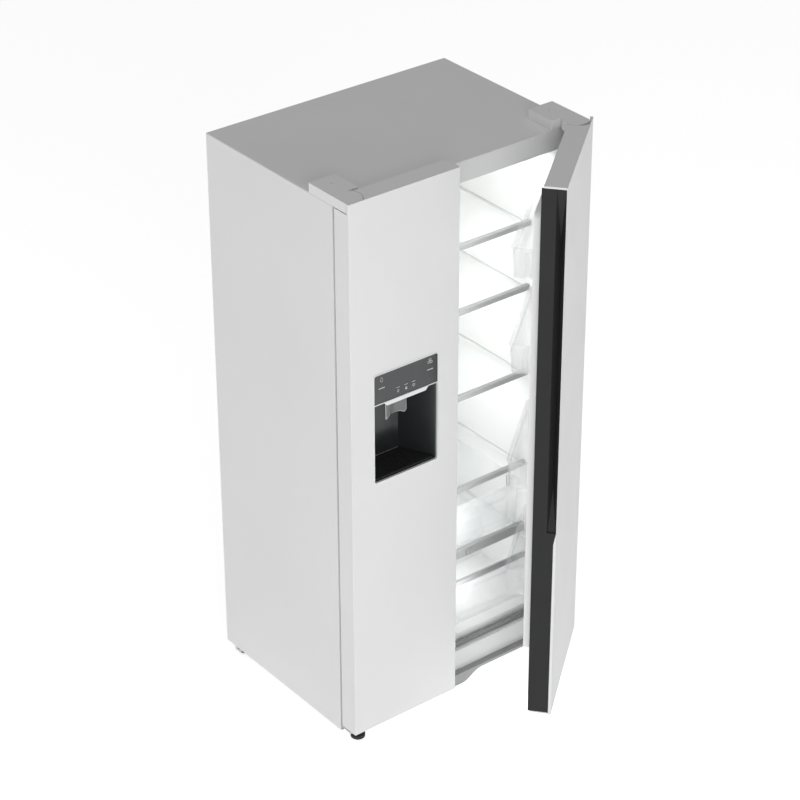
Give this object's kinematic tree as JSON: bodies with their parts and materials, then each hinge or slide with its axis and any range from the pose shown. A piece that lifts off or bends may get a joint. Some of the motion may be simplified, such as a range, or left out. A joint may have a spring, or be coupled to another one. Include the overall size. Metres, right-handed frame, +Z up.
{
  "type": "side by side refrigerator",
  "caption": "Tall side-by-side refrigerator with an ice and water dispenser in the narrow freezer door and the wide fridge door standing ajar over glass shelves and clear drawers.",
  "frame": {"origin": "on the floor, at the cabinet's middle plane across and at the middle of the whole depth with the fridge door ajar", "axes": "+X to the viewer's right facing the doors, +Y from the doors to the back, +Z up"},
  "size_m": [0.88, 0.9418, 1.789],
  "materials": {
    "white_paint": "satin",
    "galvanised": "satin",
    "foam": "matte",
    "liner_plastic": "satin",
    "frame_paint": "satin",
    "dark_plastic": "satin",
    "black_paint": "satin",
    "copper_tube": "satin",
    "grey_plastic": "satin",
    "clear_plastic": "polished",
    "shelf_glass": "polished",
    "lamp_cover": "satin",
    "seal_rubber": "matte",
    "hinge_steel": "satin",
    "cavity_plastic": "satin",
    "panel_plastic": "gloss",
    "bezel_metal": "satin",
    "paddle_plastic": "satin",
    "foot_rubber": "matte",
    "roller_plastic": "matte",
    "motor_metal": "satin"
  },
  "bodies": {
    "cabinet": {"cabinet_shell": "white_paint", "cabinet_foam": "foam", "freezer_liner": "liner_plastic", "fridge_liner": "liner_plastic", "front_frame": "frame_paint", "back_panel": "galvanised", "base_pan": "galvanised", "kick_plate": "grey_plastic", "machine_cover": "galvanised", "compressor": "black_paint", "condenser_coil": "copper_tube", "evaporator": "copper_tube", "drip_pan": "grey_plastic", "power_inlet": "dark_plastic", "water_valve": "grey_plastic", "drive_motors": "motor_metal", "freezer_duct_cover": "liner_plastic", "freezer_shelves": "shelf_glass", "ice_maker": "grey_plastic", "ice_bucket": "clear_plastic", "fridge_duct_cover": "liner_plastic", "glass_shelves": "shelf_glass", "shelf_trims": "grey_plastic", "interior_lamps": "lamp_cover", "top_hinges": "hinge_steel", "hinge_covers": "white_paint", "bottom_hinges": "hinge_steel"},
    "freezer_door": {"dispenser_housing": "cavity_plastic", "dispenser_panel": "panel_plastic", "dispenser_bezel": "bezel_metal", "ice_chute": "grey_plastic", "freezer_door_skin": "white_paint", "freezer_door_foam": "foam", "freezer_door_liner": "liner_plastic", "freezer_door_gasket": "seal_rubber", "freezer_door_grip": "dark_plastic", "freezer_door_caps": "white_paint", "freezer_door_bins": "clear_plastic"},
    "fridge_door": {"fridge_door_skin": "white_paint", "fridge_door_foam": "foam", "fridge_door_liner": "liner_plastic", "fridge_door_gasket": "seal_rubber", "fridge_door_grip": "dark_plastic", "fridge_door_caps": "white_paint", "fridge_door_bins": "clear_plastic"},
    "condenser_fan": {"condenser_fan": "dark_plastic"},
    "evaporator_fan": {"evaporator_fan": "dark_plastic"},
    "ice_auger": {"ice_auger": "hinge_steel"},
    "freezer_drawer_upper": {"freezer_drawer_upper": "clear_plastic"},
    "freezer_drawer_lower": {"freezer_drawer_lower": "clear_plastic"},
    "humidity_slider": {"humidity_slider": "grey_plastic"},
    "crisper_drawer_upper": {"crisper_drawer_upper": "clear_plastic"},
    "crisper_drawer_lower": {"crisper_drawer_lower": "clear_plastic"},
    "front_foot_left": {"front_foot_left": "foot_rubber"},
    "front_foot_right": {"front_foot_right": "foot_rubber"},
    "rear_roller_left": {"rear_roller_left": "roller_plastic"},
    "rear_roller_right": {"rear_roller_right": "roller_plastic"},
    "dispenser_paddle": {"dispenser_paddle": "paddle_plastic"},
    "ice_flap": {"ice_flap": "grey_plastic"},
    "drip_grille": {"drip_grille": "dark_plastic"}
  },
  "joints": [
    {"name": "freezer_door_swing", "type": "hinge", "parent": "cabinet", "child": "freezer_door", "pos_m": [-0.409, -0.15105, 0.9], "axis": [0, 0, -1], "range_deg": [0, 110]},
    {"name": "fridge_door_swing", "type": "hinge", "parent": "cabinet", "child": "fridge_door", "pos_m": [0.409, -0.15105, 0.9], "axis": [0, 0, 1], "range_deg": [-40, 70]},
    {"name": "paddle_press", "type": "hinge", "parent": "freezer_door", "child": "dispenser_paddle", "pos_m": [-0.238, -0.14355, 1.138], "axis": [1, 0, 0], "range_deg": [0, 12], "stiffness_Nm_per_rad": 0.3},
    {"name": "ice_flap_drop", "type": "hinge", "parent": "freezer_door", "child": "ice_flap", "pos_m": [-0.238, -0.08705, 1.151], "axis": [1, 0, 0], "range_deg": [0, 60]},
    {"name": "drip_grille_slide", "type": "slide", "parent": "freezer_door", "child": "drip_grille", "axis": [0, -1, 0], "range_m": [0, 0.04]},
    {"name": "ice_auger_turn", "type": "hinge", "parent": "cabinet", "child": "ice_auger", "pos_m": [-0.225, 0.08895, 1.342], "axis": [0, 1, 0], "continuous": true},
    {"name": "condenser_fan_spin", "type": "hinge", "parent": "cabinet", "child": "condenser_fan", "pos_m": [-0.022, 0.34895, 0.15], "axis": [1, 0, 0], "continuous": true},
    {"name": "evaporator_fan_spin", "type": "hinge", "parent": "cabinet", "child": "evaporator_fan", "pos_m": [-0.226, 0.35895, 0.76], "axis": [0, 1, 0], "continuous": true},
    {"name": "freezer_drawer_upper_slide", "type": "slide", "parent": "cabinet", "child": "freezer_drawer_upper", "axis": [0, -1, 0], "range_m": [0, 0.03]},
    {"name": "freezer_drawer_lower_slide", "type": "slide", "parent": "cabinet", "child": "freezer_drawer_lower", "axis": [0, -1, 0], "range_m": [0, 0.03]},
    {"name": "crisper_drawer_upper_slide", "type": "slide", "parent": "cabinet", "child": "crisper_drawer_upper", "axis": [0, -1, 0], "range_m": [0, 0.035]},
    {"name": "crisper_drawer_lower_slide", "type": "slide", "parent": "cabinet", "child": "crisper_drawer_lower", "axis": [0, -1, 0], "range_m": [0, 0.025]},
    {"name": "humidity_slide", "type": "slide", "parent": "cabinet", "child": "humidity_slider", "axis": [1, 0, 0], "range_m": [0, 0.03]},
    {"name": "front_foot_left_turn", "type": "hinge", "parent": "cabinet", "child": "front_foot_left", "pos_m": [-0.388, -0.14705, 0.006], "axis": [0, 0, 1], "continuous": true},
    {"name": "front_foot_right_turn", "type": "hinge", "parent": "cabinet", "child": "front_foot_right", "pos_m": [0.388, -0.14705, 0.006], "axis": [0, 0, 1], "continuous": true},
    {"name": "rear_roller_left_spin", "type": "hinge", "parent": "cabinet", "child": "rear_roller_left", "pos_m": [-0.4069, 0.41395, 0.022], "axis": [1, 0, 0], "continuous": true},
    {"name": "rear_roller_right_spin", "type": "hinge", "parent": "cabinet", "child": "rear_roller_right", "pos_m": [0.4069, 0.41395, 0.022], "axis": [1, 0, 0], "continuous": true}
  ],
  "couplings": [
    {"joint": "ice_flap_drop", "follows": "paddle_press", "ratio": 5}
  ]
}
